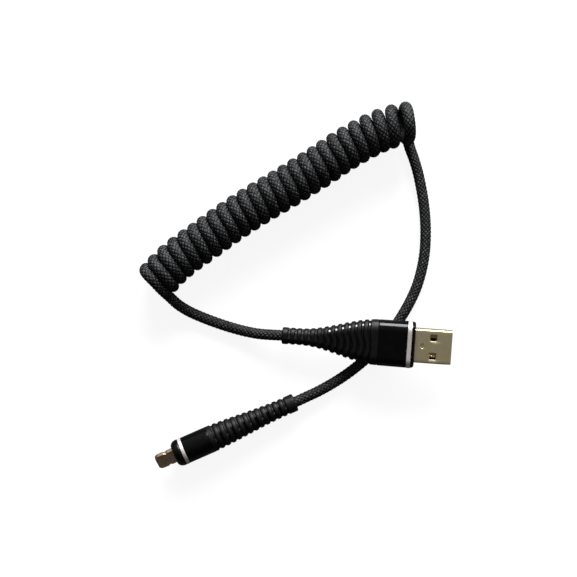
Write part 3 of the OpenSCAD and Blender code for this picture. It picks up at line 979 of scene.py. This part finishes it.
@dataclass
class FlatPlug:
    """The flat plug: strain relief, housing, trim ring, nose cap, metal shell and its springs."""

    place: PlugFrame = FLAT_FRAME
    width: float = 16.2
    height: float = 8.0
    corner: float = 3.2
    wall: float = 0.8
    relief_len: float = 34.2
    housing_len: float = 10.2
    ring_len: float = 1.5
    cap_len: float = 1.2
    shell_out: float = 12.9
    shell_w: float = 12.0
    shell_h: float = 4.5
    shell_wall: float = 0.3
    shell_back: float = 41.35
    rib_count: int = 12
    rib_gap: float = 0.9
    end_collar: float = 2.2
    base_collar: float = 2.9
    bore: float = 2.0
    hole: float = 0.75
    hole_inset: float = 1.8
    first_hole: int = 6
    window_y: float = 3.25
    window_size: tuple[float, float] = (2.3, 2.4)
    dimple_back: float = 10.3
    dimple_size: tuple[float, float] = (1.0, 1.8)

    @property
    def ring_x(self) -> float:
        """Station of the trim ring's back."""
        return self.relief_len + self.housing_len

    @property
    def cap_x(self) -> float:
        """Station of the nose cap's back."""
        return self.ring_x + self.ring_len

    @property
    def front_x(self) -> float:
        """Station of the nose cap's front."""
        return self.cap_x + self.cap_len

    @property
    def tip_x(self) -> float:
        """Station of the shell's tip."""
        return self.front_x + self.shell_out

    @property
    def window_x(self) -> float:
        """Station of the middle of the windows."""
        return self.tip_x - 6.5

    def relief_width(self, x: Array) -> Array:
        """Width of the strain relief: a bell that opens towards the housing."""
        return 6.0 + (self.width - 5.9) * smooth((x - 6.5) / 27.5)

    def relief_height(self, x: Array) -> Array:
        """Thickness of the strain relief."""
        return 5.6 + (self.height - 5.6) * smooth((x - 6.5) / 27.5)

    def groove_station(self, index: Array | int) -> Array | float:
        """Station of the middle of the groove with that number, from 0 at the end collar."""
        pitch = (self.relief_len - self.end_collar - self.base_collar - self.rib_gap) / self.rib_count
        return self.end_collar + self.rib_gap / 2 + pitch * index

    def grooves(self, x: Array, t: Array, room: Array) -> tuple[Array, Array]:
        """How far each point is sunk between the ribs, and how far it leans along the plug.

        A groove is a flat-topped hump. On the wide half it is sunk evenly across the broad faces and less at
        the narrow sides; on the thin half it is a slot on the +y half alone. Ribs swell a little between
        grooves. The lean bows every rib forwards just past the middle, towards -y.

        Args:
            x: station of each row.
            t: how far across each point lies, from -1 to 1, (rows, points).
            room: most that a point may be sunk, one a row.

        Returns:
            Depth and lean, each (rows, points).
        """
        pitch = self.groove_station(1) - self.groove_station(0)
        index = np.clip(np.round((x - self.groove_station(0)) / pitch), 0, self.rib_count)
        away = np.abs(x - self.groove_station(index))
        shape = bump(away, 0.0, self.rib_gap / 2 + 0.04, 0.4)[:, None]
        wide = smooth((x - 9.0) / 8.0)[:, None]
        face = smooth((0.94 - np.abs(t)) / 0.16)
        slot = 0.14 + 0.5 * smooth((t + 0.35) / 0.7)
        edge = 0.28 + 0.22 * wide
        broad = wide * 0.85 + (1 - wide) * slot
        depth = np.minimum(edge + (broad - edge) * face, room[:, None])
        ribbed = smooth((x - self.end_collar) / 0.4) * smooth((self.relief_len - self.base_collar - x) / 0.4)
        swell = 0.16 * (ribbed * np.clip(1 - away / (pitch / 2), 0, 1) ** 2)[:, None]
        bow = smooth((0.45 - t) / 0.65) * (1 - smooth((-0.25 - t) / 0.75))
        inside = smooth((x - 8.0) / 9.0) * smooth((self.relief_len - 0.8 - x) / 4.0)
        return np.maximum(shape * depth, swell), 1.05 * inside[:, None] * bow

    def daylight_cutter(self, index: int) -> bpy.types.Object:
        """An upright square tube that opens a groove right through, near its +y end."""
        x = self.groove_station(index)
        y = self.relief_width(np.array(x)) / 2 - self.hole_inset
        middle = self.place.place(np.array([x, float(y), 0.0]))
        across, up, angle = Outline(3, 2).template()
        size, corner = self.hole / 2, 0.2
        px = middle[0] + across * (size - corner) + corner * np.cos(angle)
        py = middle[1] + up * (size - corner) + corner * np.sin(angle)
        levels = np.array([-1.0, 20.0])[:, None]
        points = np.stack(np.broadcast_arrays(px, py, levels), axis=-1)
        return grid_mesh(f"daylight_{index}", points, cap_ends=True)

    def strain_relief(self, palette: Palette) -> None:
        """The ribbed bell: rounded collars, a bore for the cord and daylight through its wide grooves."""
        shape = Outline(corner_steps=14, side_steps=16)
        collar, front = 0.5, 0.2
        x = np.concatenate([
            collar * (1 - np.cos(np.radians(np.linspace(0, 90, 7))))[:-1],
            np.linspace(collar, self.relief_len - front, 400),
            np.linspace(self.relief_len - front, self.relief_len, 4)[1:],
        ])
        w, h = self.relief_width(x), self.relief_height(x)
        y, _ = shape.rows(w, h, h * 0.47, np.zeros(x.shape))
        depth, lean = self.grooves(x, y / (w[:, None] / 2), h / 2 - self.bore - 0.12)
        round_back = collar - np.sqrt(np.clip(collar**2 - np.clip(collar - x, 0, None) ** 2, 0, None))
        round_front = front * smooth((x - self.relief_len + front) / front)
        stand = -depth - (round_back + round_front)[:, None]
        back = np.linspace(self.relief_len, 0.0, 8)
        inner = np.full(back.shape, 2 * self.bore)
        flat = np.zeros((len(back), y.shape[1]))
        all_d = np.vstack([stand, flat])
        obj = self.place.loft(
            "flat_plug_strain_relief", np.concatenate([x, back]), np.concatenate([w, inner]),
            np.concatenate([h, inner]), np.concatenate([h * 0.47, inner * 0.47]), all_d,
            shape=shape, x_shift=np.vstack([lean, flat]),
        )
        # crown mask: 1 on the ribs, 0 deep in the grooves; the rubber darkens the low parts with it, painted
        # shade
        set_mask(obj, "crown", 1 - np.clip(-all_d / 0.7, 0, 1))
        cut_away(obj, [self.daylight_cutter(index) for index in range(self.first_hole, self.rib_count + 1)])
        palette.dress(obj, "relief_rubber")
        tuple(self.place.on_axis(2.0) * MM)
        tuple(self.place.on_axis(32.0) * MM)
        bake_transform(obj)
        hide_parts("usb_strain_relief")
        log.info("piece %s: %d faces", obj.name, len(obj.data.polygons))

    def housing(self, palette: Palette) -> None:
        """The black sleeve, a little wider towards its bright ring."""
        x, d = sleeve_rows(self.relief_len, self.ring_x, 0.0, -self.wall, 0.18)
        swell = 0.1 * (x - self.relief_len) / self.housing_len
        obj = self.place.loft(
            "flat_plug_housing", x, self.width, self.height, self.corner, d + swell, shape=Outline(12, 10),
        )
        settle(obj, palette, "black_anodised", Body.FLAT_PLUG, "usb_housing")

    def trim_ring(self, palette: Palette) -> None:
        """The polished band, with a slightly crowned face."""
        x, d = sleeve_rows(self.ring_x, self.cap_x, 0.16, -self.wall, 0.22, 6)
        obj = self.place.loft(
            "flat_plug_trim_ring", x, self.width, self.height, self.corner, d, shape=Outline(12, 10),
        )
        settle(obj, palette, "bright_trim", Body.FLAT_PLUG, "usb_trim_ring")

    def nose_cap(self, palette: Palette) -> None:
        """The black cap: its outline shrinks over a quarter circle, then runs in to the shell's opening."""
        turn = np.radians(np.linspace(0, 90, 9))
        radius = 0.95
        x = np.concatenate([[self.cap_x, self.cap_x + 0.1], self.front_x - radius + radius * np.sin(turn)])
        shrink = np.concatenate([[0.12, 0.0], radius * (1 - np.cos(turn))])
        w, h, r = self.width - 2 * shrink, self.height - 2 * shrink, self.corner - shrink
        hole_w, hole_h = self.shell_w + 0.1, self.shell_h + 0.1
        x = np.concatenate([x, [self.front_x, self.front_x - 0.12, self.cap_x]])
        w = np.concatenate([w, [hole_w + 0.2, hole_w, hole_w]])
        h = np.concatenate([h, [hole_h + 0.2, hole_h, hole_h]])
        r = np.concatenate([r, [0.7, 0.6, 0.6]])
        obj = self.place.loft("flat_plug_nose_cap", x, w, h, r, shape=Outline(12, 10))
        settle(obj, palette, "black_plastic", Body.FLAT_PLUG, "usb_nose_cap")

    def punch(
        self, name: str, at: tuple[float, float], size: tuple[float, float],
        corner: float, depth: float, side: int, flare: float = 0.24,
    ) -> bpy.types.Object:
        """A closed cutter into a broad face of the shell: straight walls, then a flare up to the face.

        Each level is a rounded rectangle; the flare grows by a fixed amount all round and also slides
        towards -y, so that its rim is widest there.

        Args:
            name: the cutter's name.
            at: its middle, along and across the plug.
            size: its size along and across.
            corner: its corner radius.
            depth: how far it goes in.
            side: 1 for the upper face, -1 for the lower one.
            flare: how far its rim spreads.

        Returns:
            The cutter.
        """
        face = self.shell_h / 2
        levels = np.array([face - depth, face - min(0.22, depth / 2), face + 0.02, face + 0.5]) * side
        grow = flare * np.array([0.0, 0.0, 1.0, 1.0])[:, None]
        slide = -0.8 * grow
        across, up, angle = Outline(5, 2).template()
        px = at[0] + across * (size[0] / 2 - corner) + (corner + grow) * np.cos(angle)
        py = at[1] + slide + up * (size[1] / 2 - corner) + (corner + grow) * np.sin(angle)
        pz = np.broadcast_to(levels[:, None], px.shape)
        points = self.place.place(np.stack([px, py, pz], axis=-1))
        return grid_mesh(name, points if side > 0 else points[::-1], cap_ends=True)

    def shell(self, palette: Palette) -> None:
        """The metal shell: a folded box with flared windows, a dimple and a seam, its mouth drawn in."""
        x, d = sleeve_rows(self.shell_back, self.tip_x, 0.0, -self.shell_wall, 0.11)
        pull = 0.12 * smooth((x - self.tip_x + 0.9) / 0.9)
        obj = self.place.loft(
            "flat_plug_shell", x, self.shell_w, self.shell_h, 0.55, d - pull, shape=Outline(6, 12),
        )
        cutters = [
            self.punch(
                f"window_{sy}_{side}", (self.window_x, self.window_y * sy), self.window_size, 0.3, 0.9, side,
            )
            for sy in (-1, 1) for side in (-1, 1)
        ]
        dimple_at = (self.tip_x - self.dimple_back, 0.2)
        cutters.append(self.punch("dimple", dimple_at, self.dimple_size, 0.45, 0.27, 1, 0.12))
        seam_y = np.array([-0.04, 0.04])
        seam_z = -self.shell_h / 2 + np.array([-0.2, 0.12])
        square = np.array([[0, 0], [1, 0], [1, 1], [0, 1]])
        seam = np.stack([
            np.broadcast_to(np.array([self.shell_back - 1, self.tip_x + 1])[:, None], (2, 4)),
            np.broadcast_to(seam_y[square[:, 0]], (2, 4)), np.broadcast_to(seam_z[square[:, 1]], (2, 4)),
        ], axis=-1)
        cutters.append(grid_mesh("seam", self.place.place(seam), cap_ends=True))
        cut_away(obj, cutters)
        settle(obj, palette, "nickel_shell", Body.FLAT_PLUG, "usb_shell")

    def shell_spring(self, palette: Palette) -> None:
        """The bent tongue of shell metal that hangs into the lower windows: a thin strip that dips by t^2."""
        t = np.linspace(0, 1, 14)
        across, up = Outline(3, 2).rows(*(np.full(t.shape, size) for size in (1.85, 0.18, 0.07)), 0 * t)
        for side, label in ((1, "upper"), (-1, "lower")):
            y = -self.window_y + 1.35 - 1.5 * t
            z = self.shell_h / 2 - 0.24 - 0.55 * t**2
            local = np.stack([
                self.window_x + side * across,
                np.broadcast_to(y[:, None], across.shape),
                side * (z[:, None] + up),
            ], axis=-1)
            obj = grid_mesh(f"flat_plug_spring_{label}", self.place.place(local), cap_ends=True)
            settle(obj, palette, "nickel_shell", Body.FLAT_PLUG)

    def build(self, palette: Palette) -> None:
        """Makes every piece of the plug."""
        self.strain_relief(palette)
        self.housing(palette)
        self.trim_ring(palette)
        self.nose_cap(palette)
        self.shell(palette)
        self.shell_spring(palette)


# ------------------------------------------------------------------ slim plug


@dataclass
class SlimPlug:
    """The slim plug: strain relief, round housing, trim ring, domed nose cap and tab."""

    place: PlugFrame = SLIM_FRAME
    diameter: float = 9.6
    wall: float = 0.7
    relief_len: float = 33.0
    housing_len: float = 9.8
    ring_len: float = 1.2
    cap_len: float = 2.9
    tab_out: float = 6.8
    tab_w: float = 6.7
    tab_t: float = 1.5
    thin_r: float = 3.25
    rib_count: int = 12
    rib_gap: float = 0.8
    end_collar: float = 3.5
    base_collar: float = 1.6
    bore: float = 2.0
    slot_turn: float = 2.32
    around: int = 72
    panel_w: float = 5.2
    panel_len: float = 2.6
    panel_from_tip: float = 0.55
    panel_depth: float = 0.3

    @property
    def ring_x(self) -> float:
        """Station of the trim ring's back."""
        return self.relief_len + self.housing_len

    @property
    def cap_x(self) -> float:
        """Station of the nose cap's back."""
        return self.ring_x + self.ring_len

    @property
    def front_x(self) -> float:
        """Station of the nose cap's front."""
        return self.cap_x + self.cap_len

    @property
    def tip_x(self) -> float:
        """Station of the tab's tip."""
        return self.front_x + self.tab_out

    def turns(self) -> Array:
        """Angles of the points round a turned shape."""
        return np.linspace(0, 2 * np.pi, self.around + 1)[:-1]

    def round_loft(self, name: str, x: Array, radius: Array) -> bpy.types.Object:
        """A turned shape that runs out along its outside and back along its inside.

        Args:
            name: the object's name.
            x: station of each row.
            radius: radius of each row, or of each point as (rows, around).

        Returns:
            The object.
        """
        turn = self.turns()
        radius = np.asarray(radius, float)
        radius = radius[:, None] if radius.ndim == 1 else radius
        stations = np.broadcast_to(x[:, None], (len(x), len(turn)))
        local = np.stack([stations, radius * np.cos(turn), radius * np.sin(turn)], axis=-1)
        along = chord_lengths(local[:, 0])
        along = np.append(along, along[-1] + np.linalg.norm(local[-1, 0] - local[0, 0]))
        around = np.linspace(0, np.pi * self.diameter, len(turn) + 1)
        return grid_mesh(name, self.place.place(local), wrap_rows=True, row_uv=along, col_uv=around)

    def strain_relief(self, palette: Palette) -> None:
        """The ribbed cone: shallow grooves all round, with deep slots on two sides that alternate.

        Groove depth is an even part plus a slot part where cos^2 of the angle from the slot's middle is
        large.
        The middle steps to and fro from each groove to the next, so the slots are staggered.
        """
        pitch = (self.relief_len - self.end_collar - self.base_collar - self.rib_gap) / self.rib_count
        first = self.end_collar + self.rib_gap / 2
        collar = 0.6
        x = np.concatenate([
            collar * (1 - np.cos(np.radians(np.linspace(0, 90, 8))))[:-1],
            np.linspace(collar, self.relief_len, 410),
        ])
        turn = self.turns()
        cone = self.thin_r + (self.diameter / 2 - self.thin_r) * smooth((x - 4.0) / 30.0)
        index = np.clip(np.round((x - first) / pitch), 0, self.rib_count)
        away = np.abs(x - first - index * pitch)
        groove = bump(away, 0.0, self.rib_gap / 2 + 0.04, 0.36)[:, None]
        stagger = 0.42 * (-1.0) ** index[:, None]
        facing = np.cos(turn[None, :] - self.slot_turn - stagger) ** 2
        room = (cone - self.bore - 0.12)[:, None]
        depth = np.minimum(0.42 + 0.6 * smooth((facing - 0.55) / 0.25), room)
        ribbed = smooth((x - self.end_collar) / 0.4) * smooth((self.relief_len - self.base_collar - x) / 0.4)
        swell = 0.2 * (ribbed * np.clip(1 - away / (pitch / 2), 0, 1) ** 2)[:, None]
        sunk = np.maximum(groove * depth, swell)
        edge = collar - np.sqrt(np.clip(collar**2 - np.clip(collar - x, 0, None) ** 2, 0, None))
        radius = cone[:, None] - sunk - edge[:, None]
        back = np.linspace(self.relief_len, 0.0, 8)
        inner = np.full((len(back), len(turn)), self.bore)
        stations = np.concatenate([x, back])
        obj = self.round_loft("slim_plug_strain_relief", stations, np.vstack([radius, inner]))
        # crown mask: 1 on the ribs, 0 deep in the grooves; the rubber darkens the low parts with it, painted
        # shade
        set_mask(obj, "crown", np.vstack([1 - np.clip(sunk / 0.7, 0, 1), 0 * inner]))
        palette.dress(obj, "relief_rubber")
        tuple(self.place.on_axis(2.0) * MM)
        tuple(self.place.on_axis(32.0) * MM)
        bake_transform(obj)
        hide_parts("slim_strain_relief")
        log.info("piece %s: %d faces", obj.name, len(obj.data.polygons))

    def housing(self, palette: Palette) -> None:
        """The round black sleeve."""
        radius = self.diameter / 2
        x, d = sleeve_rows(self.relief_len, self.ring_x, radius, radius - self.wall, 0.16)
        obj = self.round_loft("slim_plug_housing", x, d)
        settle(obj, palette, "black_anodised", Body.SLIM_PLUG, "slim_housing")

    def trim_ring(self, palette: Palette) -> None:
        """The polished band."""
        radius = self.diameter / 2
        x, d = sleeve_rows(self.ring_x, self.cap_x, radius + 0.06, radius - self.wall, 0.2, 6)
        obj = self.round_loft("slim_plug_trim_ring", x, d)
        settle(obj, palette, "bright_trim", Body.SLIM_PLUG, "slim_trim_ring")

    def nose_cap(self, palette: Palette) -> None:
        """The domed cap: its round outline shrinks over a quarter ellipse, then runs in to the tab's slot."""
        turn = np.radians(np.linspace(0, 90, 12))
        straight = 0.5
        front = 6.2
        x = np.concatenate([[self.cap_x], self.cap_x + straight + (self.cap_len - straight) * np.sin(turn)])
        size = np.concatenate([[self.diameter - 0.2], front + (self.diameter - front) * np.cos(turn)])
        x = np.concatenate([x, [self.front_x, self.front_x - 0.15, self.cap_x]])
        slot_w, slot_t = self.tab_w + 0.1, self.tab_t + 0.1
        w = np.concatenate([size, [slot_w + 0.16, slot_w, slot_w]])
        w[:-3] = np.maximum(w[:-3], slot_w + 0.4)
        h = np.concatenate([size, [slot_t + 0.2, slot_t, slot_t]])
        r = np.concatenate([size * 0.485, [0.8, 0.7, 0.7]])
        obj = self.place.loft("slim_plug_nose_cap", x, w, h, r, shape=Outline(14, 4))
        settle(obj, palette, "black_plastic", Body.SLIM_PLUG, "slim_nose_cap")

    def panel_cutter(self, side: int) -> bpy.types.Object:
        """A closed cutter for one contact panel's recess, with a bevel at the tab's face."""
        face = self.tab_t / 2
        levels = np.array([face - self.panel_depth, face - 0.1, face + 0.01, face + 0.4]) * side
        grow = np.array([0.02, 0.02, 0.14, 0.14])[:, None]
        across, up, angle = Outline(6, 3).template()
        middle, corner = self.tip_x - self.panel_from_tip - self.panel_len / 2, 0.8
        px = middle + across * (self.panel_len / 2 - corner) + (corner + grow) * np.cos(angle)
        py = up * (self.panel_w / 2 - corner) + (corner + grow) * np.sin(angle)
        points = self.place.place(np.stack([px, py, np.broadcast_to(levels[:, None], px.shape)], axis=-1))
        return grid_mesh(f"panel_recess_{side}", points if side > 0 else points[::-1], cap_ends=True)

    def tab(self, palette: Palette) -> None:
        """The tab: a flat bar with rounded sides, a round-cornered tip, two side notches and two recesses."""
        root = self.cap_x - 0.6
        corner = 1.6
        bend = np.radians(np.linspace(0, 90, 24))
        x = np.concatenate([
            np.linspace(root, self.tip_x - corner, 60)[:-1], self.tip_x - corner + corner * np.sin(bend),
        ])
        into = np.clip(x - (self.tip_x - corner), 0, None)
        narrow = corner - np.sqrt(np.clip(corner**2 - into**2, 0, None))
        notch = 0.42 * bump(x, self.tip_x - 4.2, 0.42, 0.5)
        w = self.tab_w - 2 * narrow - 2 * notch
        tip_round = 0.35
        near = np.clip(x - (self.tip_x - tip_round), 0, None)
        h = self.tab_t - 2 * (tip_round - np.sqrt(np.clip(tip_round**2 - near**2, 0, None)))
        r = np.minimum(h * 0.45, 0.24)
        obj = self.place.loft("slim_plug_tab", x, w, h, r, ring=False, shape=Outline(6, 12))
        cut_away(obj, [self.panel_cutter(side) for side in (1, -1)])
        settle(obj, palette, "nickel_tab", Body.SLIM_PLUG, "slim_tab_frame")

    def build(self, palette: Palette) -> None:
        """Makes every piece of the plug."""
        self.strain_relief(palette)
        self.housing(palette)
        self.trim_ring(palette)
        self.nose_cap(palette)
        self.tab(palette)


# ------------------------------------------------------------------ studio


@dataclass(frozen=True)
class Studio:
    """Camera straight above, pale floor and soft light from the far side."""

    centre: tuple[float, float] = (-5.5, 37.7)
    wide: float = 206.1
    lens: float = 85.0
    sensor: float = 36.0
    plane: float = 4.0
    overhead: float = 0.36
    near_side: float = 0.1
    key_at: tuple[float, float, float] = (0.12, 1.25, 0.5)
    key_towards: tuple[float, float, float] = (0.0, 0.04, 0.0)
    key_size: float = 0.8
    key_power: float = 50.0
    floor_paper: float = 0.16
    floor_unseen: float = 0.12
    floor_glow: float = 0.9

    def camera(self) -> None:
        """The camera looks straight down on the middle of the view, which spans the wanted width."""
        data = bpy.data.cameras.new("camera")
        data.lens = self.lens
        data.sensor_width = self.sensor
        obj = bpy.data.objects.new("camera", data)
        distance = self.wide / self.sensor * self.lens + self.plane
        obj.location = (self.centre[0] * MM, self.centre[1] * MM, distance * MM)
        bpy.context.scene.collection.objects.link(obj)
        bpy.context.scene.camera = obj

    def floor(self) -> None:
        """A wide pale floor: most of its white is a plain glow, so that shadows stay light."""
        half = 3000.0
        side = np.linspace(-half, half, 3)
        y, x = np.meshgrid(side, side, indexing="ij")
        obj = grid_mesh("floor", np.stack([x, y, np.zeros(x.shape)], axis=-1), wrap_cols=False)
        material = bpy.data.materials.new("floor_white")
        material.use_nodes = True
        material.node_tree.nodes.clear()
        s = Shader(material.node_tree)
        paper, glow, both, lit, seen, rest = (
            s.add(kind) for kind in (
                "ShaderNodeBsdfDiffuse", "ShaderNodeEmission", "ShaderNodeAddShader",
                "ShaderNodeLightPath", "ShaderNodeMixShader", "ShaderNodeBsdfDiffuse",
            )
        )
        s.feed(paper, "Color", (*[self.floor_paper] * 3, 1))
        s.feed(glow, "Strength", self.floor_glow)
        s.feed(both, 0, paper.outputs[0])
        s.feed(both, 1, glow.outputs[0])
        s.feed(rest, "Color", (*[self.floor_unseen] * 3, 1))
        s.feed(seen, 0, lit.outputs["Is Camera Ray"])
        s.feed(seen, 1, rest.outputs[0])
        s.feed(seen, 2, both.outputs[0])
        s.feed(s.add("ShaderNodeOutputMaterial"), "Surface", seen.outputs[0])
        obj.data.materials.append(material)

    def key(self) -> None:
        """The one lamp: a square soft light, in metres and watts, turned towards the cable."""
        data = bpy.data.lights.new("key", "AREA")
        data.shape = "SQUARE"
        data.size = self.key_size
        data.energy = self.key_power
        obj = bpy.data.objects.new("key", data)
        obj.location = self.key_at
        aim = np.array(self.key_towards) - np.array(self.key_at)
        obj.rotation_euler = Vector(aim).to_track_quat("-Z", "Y").to_euler()
        bpy.context.scene.collection.objects.link(obj)

    def sky(self) -> None:
        """The room round the set: pale at the horizon and dim overhead, by the height of the direction."""
        world = bpy.data.worlds.new("pale_room")
        world.use_nodes = True
        s = Shader(world.node_tree)
        background = world.node_tree.nodes["Background"]
        split = s.add("ShaderNodeSeparateXYZ")
        s.feed(split, 0, s.add("ShaderNodeTexCoord").outputs["Generated"])
        height = s.span(split.outputs[2], 0.05, 0.75, 0.55, self.overhead)
        side = s.span(split.outputs[1], -0.5, 0.6, self.near_side, 1.0)
        s.feed(background, "Color", (1.0, 0.99, 0.97, 1))
        s.feed(background, "Strength", s.math("MULTIPLY", height, side))
        bpy.context.scene.world = world

    def build(self) -> None:
        """Camera, floor, lights and room."""
        bpy.context.scene.view_settings.view_transform = "Standard"
        self.camera()
        self.floor()
        self.key()
        self.sky()


def dress_cad_nodes(palette: Palette) -> None:
    """Gives every CAD node the finish of its slot in the record."""
    for part in frame["record"]["subparts"]:
        palette.dress(frame["nodes"][part["node"]], part["material_slot"])


def main() -> None:
    """Builds the studio, the cord, both plugs and the finishes, in that order."""
    logging.basicConfig(level=logging.INFO, format="%(name)s: %(message)s")
    Studio().build()
    palette = Palette()
    palette.build()
    dress_cad_nodes(palette)
    BraidedCord().build(palette)
    FlatPlug().build(palette)
    SlimPlug().build(palette)


if __name__ == "__main__":
    main()
